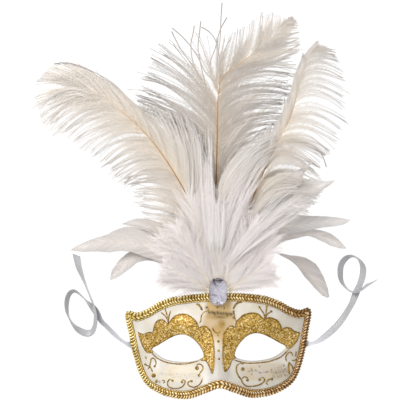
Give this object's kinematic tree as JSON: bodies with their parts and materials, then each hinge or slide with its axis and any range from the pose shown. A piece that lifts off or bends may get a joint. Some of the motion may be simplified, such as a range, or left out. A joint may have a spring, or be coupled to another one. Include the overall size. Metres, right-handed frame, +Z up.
{
  "type": "feathered venetian half mask",
  "caption": "Half mask for the upper face with glitter and scroll painting, gold braid rim, long cut stone, a fan of white plumes and satin tie ribbons, lying face up",
  "frame": {"origin": "on the table under the middle of the box round the mask and its feathers, without the loose ribbons", "axes": "+Z up out of the face, +Y from the nose towards the plume tips, +X to the wearer's left as seen from the front"},
  "size_m": [0.3125, 0.356, 0.0592],
  "materials": {
    "painted_shell": "cream paint on a moulded shell, with gold glitter panels and raised gold scrolls",
    "gold_braid": "woven metallic gimp braid, old gold with dark furrows",
    "crystal": "faceted clear stone with a silvered back",
    "ostrich_feather": "cream white ostrich barbs on tan shafts",
    "hackle_feather": "smooth white cock feather blade",
    "marabou_feather": "soft white down with a faint rose cast",
    "satin_ribbon": "white satin ribbon with a soft sheen"
  },
  "bodies": {
    "root": {"mask_shell": "painted_shell", "edge_braid": "gold_braid", "brow_gem": "crystal", "ribbon_left": "satin_ribbon", "ribbon_right": "satin_ribbon", "ostrich_plume_centre": "ostrich_feather", "ostrich_plume_left": "ostrich_feather", "ostrich_plume_right": "ostrich_feather", "hackle_left_upper": "hackle_feather", "hackle_left_middle": "hackle_feather", "hackle_left_lower": "hackle_feather", "hackle_right_top": "hackle_feather", "hackle_right_upper": "hackle_feather", "hackle_right_middle": "hackle_feather", "hackle_right_low": "hackle_feather", "hackle_right_lower": "hackle_feather", "marabou_01": "marabou_feather", "marabou_02": "marabou_feather", "marabou_03": "marabou_feather", "marabou_04": "marabou_feather", "marabou_05": "marabou_feather", "marabou_06": "marabou_feather", "marabou_07": "marabou_feather", "marabou_08": "marabou_feather", "marabou_09": "marabou_feather", "marabou_10": "marabou_feather", "marabou_11": "marabou_feather"}
  },
  "joints": []
}
